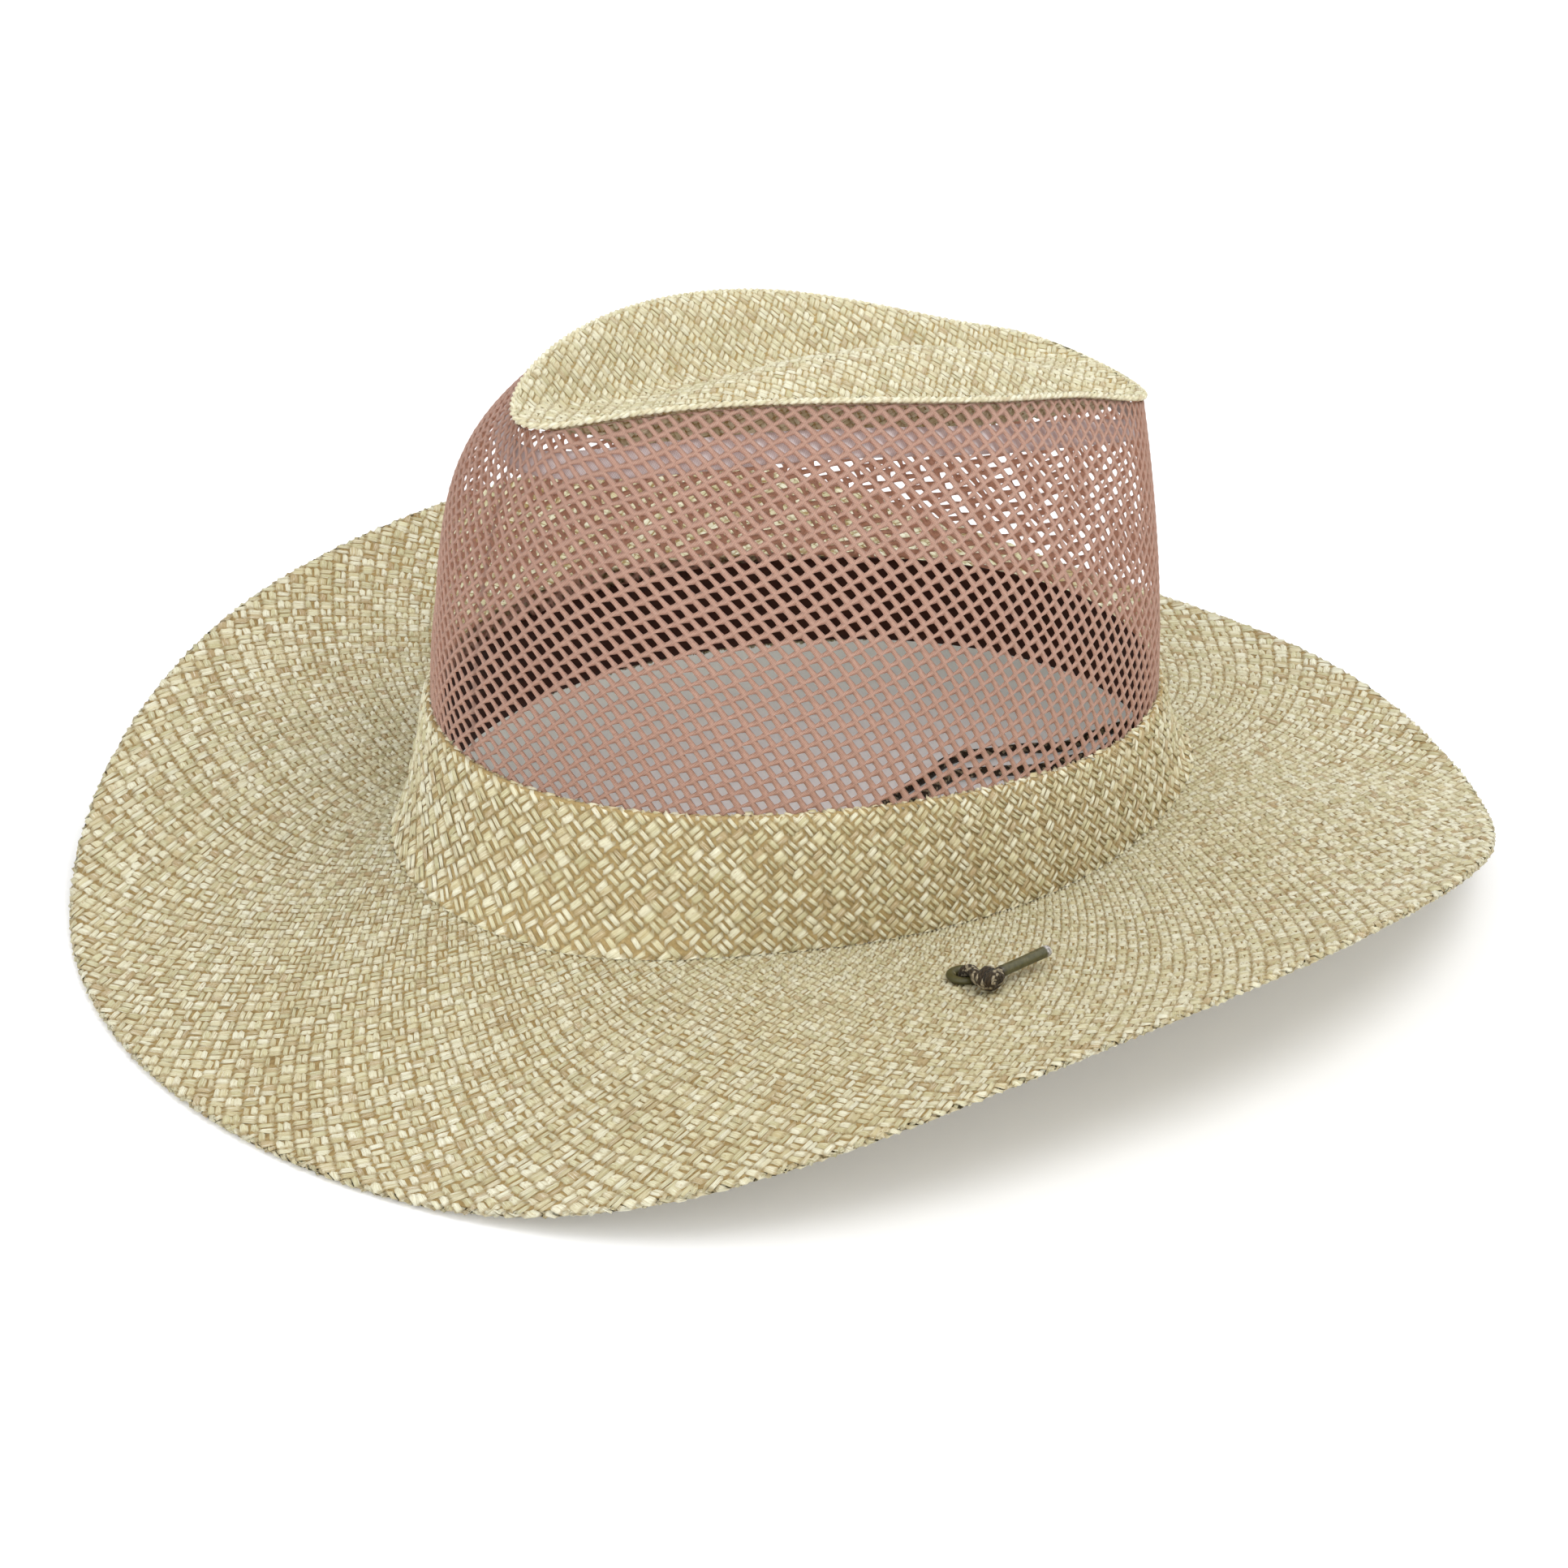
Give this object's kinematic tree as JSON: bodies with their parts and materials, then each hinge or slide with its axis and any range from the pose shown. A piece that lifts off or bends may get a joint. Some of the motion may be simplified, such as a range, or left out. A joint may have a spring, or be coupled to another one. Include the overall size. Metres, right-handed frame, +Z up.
{
  "type": "fishing hat",
  "caption": "Wide-brimmed woven-straw sun hat with curled sides, an open mesh crown wall, a teardrop-dented straw top, an inner sweatband and a chin cord.",
  "frame": {"origin": "centre of the bounding box at its base, where the front and back of the brim rest", "axes": "+Z up, -Y towards the front of the hat, +X towards the wearer's left; the plane X = 0 is the mirror plane of the hat"},
  "size_m": [0.343, 0.3892, 0.161],
  "materials": {
    "straw_brim": "woven paper straw, matte",
    "straw_band": "woven paper straw, matte",
    "straw_tip": "woven paper straw, matte",
    "crown_net": "open knitted polyester mesh",
    "seam_tape": "thin woven tape",
    "sweatband": "dark brown inner band",
    "eyelet_metal": "dark olive enamel",
    "cord_braid": "round braided cord, dark brown with grey flecks",
    "aglet_plastic": "olive tube"
  },
  "bodies": {
    "root": {"brim": "straw_brim", "crown_band": "straw_band", "crown_mesh": "crown_net", "crown_tip": "straw_tip", "crown_tape": "seam_tape", "sweatband": "sweatband", "eyelet_left": "eyelet_metal", "eyelet_right": "eyelet_metal", "cord_knot_left": "cord_braid", "cord_knot_right": "cord_braid", "cord_aglet_left": "aglet_plastic", "cord_aglet_right": "aglet_plastic", "chin_cord": "cord_braid"}
  },
  "joints": []
}
